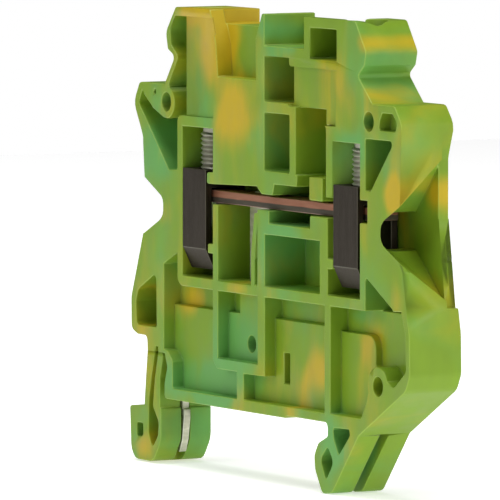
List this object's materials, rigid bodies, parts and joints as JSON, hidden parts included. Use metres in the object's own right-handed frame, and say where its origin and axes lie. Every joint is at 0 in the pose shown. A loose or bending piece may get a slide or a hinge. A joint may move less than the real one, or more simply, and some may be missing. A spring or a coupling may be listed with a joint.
{
  "type": "din rail terminal block",
  "caption": "Screw-clamp ground terminal block for a 35 mm rail, with an open-sided housing, sprung release foot, clamping cages on screws, a current bar and an earthing plate.",
  "frame": {"origin": "on the rail seat, on the centre line of the 35 mm rail and at mid thickness", "axes": "+X across the rail towards the hooked foot, +Y along the rail towards the closed side, +Z away from the rail"},
  "size_m": [0.0586, 0.006, 0.0484],
  "materials": {
    "housing_plastic": "green and yellow marbled, semi-matte",
    "foot_plastic": "green and yellow marbled, semi-matte",
    "cage_steel": "dark burnished",
    "screw_steel": "zinc plated",
    "bar_copper": "bare rolled copper",
    "plate_tin": "tin plated"
  },
  "bodies": {
    "block": {"housing": "housing_plastic", "current_bar": "bar_copper", "rail_plate": "plate_tin"},
    "foot": {"release_foot": "foot_plastic"},
    "cage_left": {"clamp_cage_left": "cage_steel"},
    "cage_right": {"clamp_cage_right": "cage_steel"},
    "screw_left": {"clamp_screw_left": "screw_steel"},
    "screw_right": {"clamp_screw_right": "screw_steel"}
  },
  "joints": [
    {"name": "foot_release", "type": "hinge", "parent": "block", "child": "foot", "pos_m": [-0.0199, 0, 0.00465], "axis": [0, 1, 0], "range_deg": [0, 8], "stiffness_Nm_per_rad": 0.05},
    {"name": "screw_left_turn", "type": "hinge", "parent": "block", "child": "screw_left", "pos_m": [-0.0102, -0.00065, 0.0265], "axis": [0, 0, -1], "range_deg": [0, 2880]},
    {"name": "screw_right_turn", "type": "hinge", "parent": "block", "child": "screw_right", "pos_m": [0.0214, -0.00065, 0.0265], "axis": [0, 0, -1], "range_deg": [0, 2880]},
    {"name": "cage_left_rise", "type": "slide", "parent": "block", "child": "cage_left", "axis": [0, 0, 1], "range_m": [0, 0.004]},
    {"name": "cage_right_rise", "type": "slide", "parent": "block", "child": "cage_right", "axis": [0, 0, 1], "range_m": [0, 0.004]}
  ],
  "couplings": [
    {"joint": "screw_left_turn", "follows": "cage_left_rise", "rad_per_m": 12566},
    {"joint": "screw_right_turn", "follows": "cage_right_rise", "rad_per_m": 12566}
  ]
}
